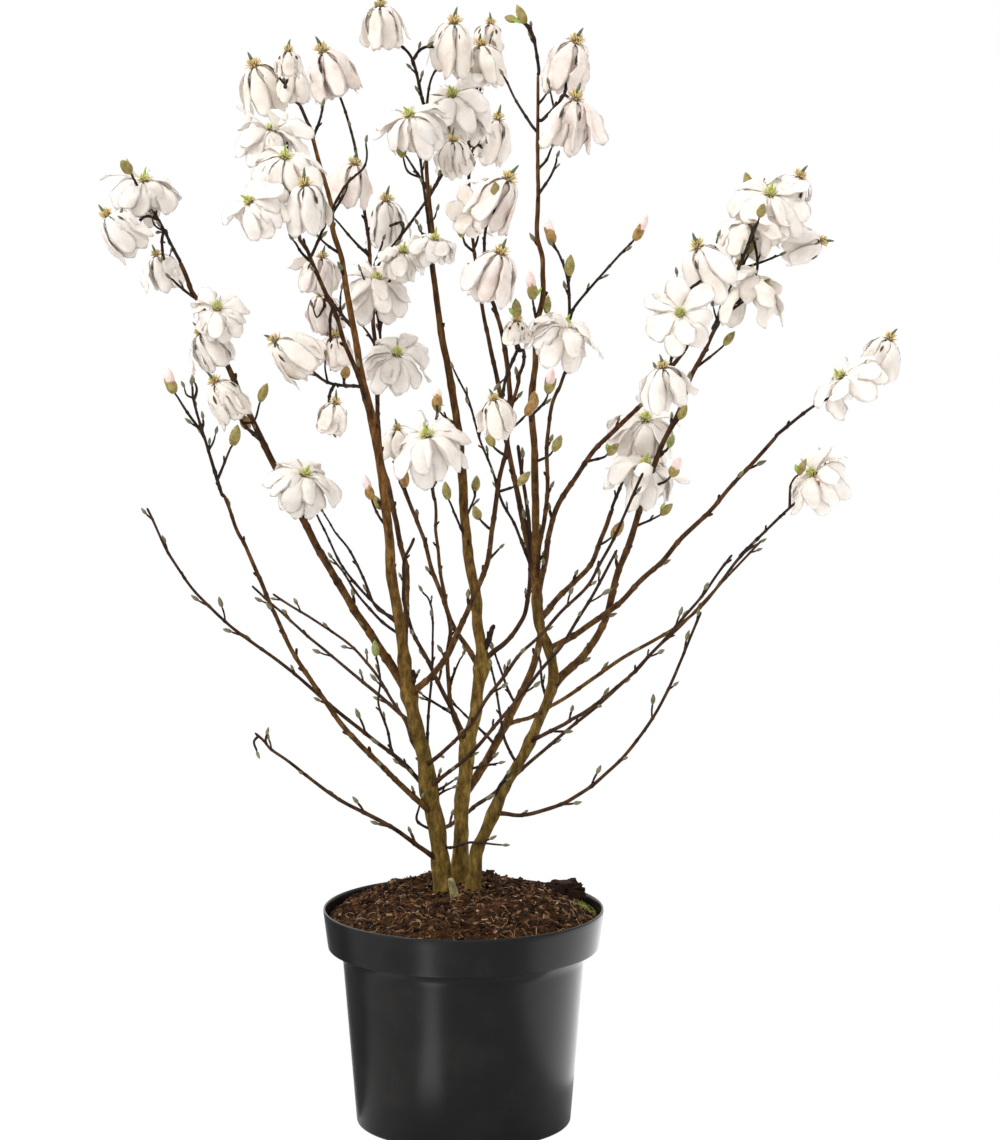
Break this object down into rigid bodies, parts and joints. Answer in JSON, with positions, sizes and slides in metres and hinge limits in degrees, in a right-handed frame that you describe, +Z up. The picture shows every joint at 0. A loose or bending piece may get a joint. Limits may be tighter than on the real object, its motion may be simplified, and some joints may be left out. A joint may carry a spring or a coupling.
{
  "type": "potted star magnolia tree",
  "caption": "Young multi-stem star magnolia in late blossom, standing in a round black plastic nursery pot filled with bark compost.",
  "frame": {"origin": "centre of the pot's flat underside, on the surface that it stands on", "axes": "+Z up, +X to the right and -Y towards the viewer who faces the plant's front"},
  "size_m": [0.8014, 0.6006, 1.1372],
  "materials": {
    "pot_plastic": "satin injection-moulded black plastic with soft vertical sheen",
    "potting_soil": "moist dark bark compost with pale fibres and a little moss",
    "cut_wood": "freshly cut green wood",
    "stem_bark": "olive-brown mottled bark with small pale pores",
    "bough_bark": "smooth chestnut-brown young bark",
    "shoot_bark": "dark red-brown twig bark with downy grey-green buds",
    "blossom": "thin matt warm white petals on dark twigs, with golden stamens and downy olive buds"
  },
  "bodies": {
    "root": {"pot": "pot_plastic", "soil": "potting_soil", "cut_stub": "cut_wood", "stem_left": "stem_bark", "stem_middle": "stem_bark", "stem_right": "stem_bark", "bough_left_front": "bough_bark", "bough_far_left": "bough_bark", "bough_left_fork": "bough_bark", "bough_back_left": "bough_bark", "bough_front": "bough_bark", "bough_front_tall": "bough_bark", "bough_centre_front": "bough_bark", "bough_centre_back": "bough_bark", "bough_inner_right": "bough_bark", "bough_right_front": "bough_bark", "bough_right_long": "bough_bark", "bough_right_back": "bough_bark", "bough_far_right": "bough_bark", "bough_right_spread": "bough_bark", "bough_right_low": "bough_bark", "shoot_low_left": "shoot_bark", "shoot_left_outer": "shoot_bark", "shoot_left_middle": "shoot_bark", "shoot_left_back": "shoot_bark", "shoot_inner_left": "shoot_bark", "shoot_inner_right": "shoot_bark", "shoot_cross_near": "shoot_bark", "shoot_cross_far": "shoot_bark", "shoot_right_front": "shoot_bark", "shoot_right_back": "shoot_bark", "shoot_low_right": "shoot_bark", "spray_left_front": "blossom", "spray_far_left_top": "blossom", "spray_far_left_upper": "blossom", "spray_far_left_middle": "blossom", "spray_far_left_lower": "blossom", "spray_left_fork": "blossom", "spray_left_top": "blossom", "spray_left_side": "blossom", "spray_left_inner": "blossom", "spray_back_left_top": "blossom", "spray_back_middle_top": "blossom", "spray_back_left_side": "blossom", "spray_middle_top": "blossom", "spray_middle_side": "blossom", "spray_inner_right_top": "blossom", "spray_front_tall": "blossom", "spray_front": "blossom", "spray_centre_front": "blossom", "spray_centre_back": "blossom", "spray_right_tip": "blossom", "spray_right_top": "blossom", "spray_right_front": "blossom", "spray_right_long": "blossom", "spray_right_back": "blossom", "spray_far_right_side": "blossom", "spray_far_right_top": "blossom", "spray_right_spread": "blossom", "spray_right_low": "blossom"}
  },
  "joints": []
}
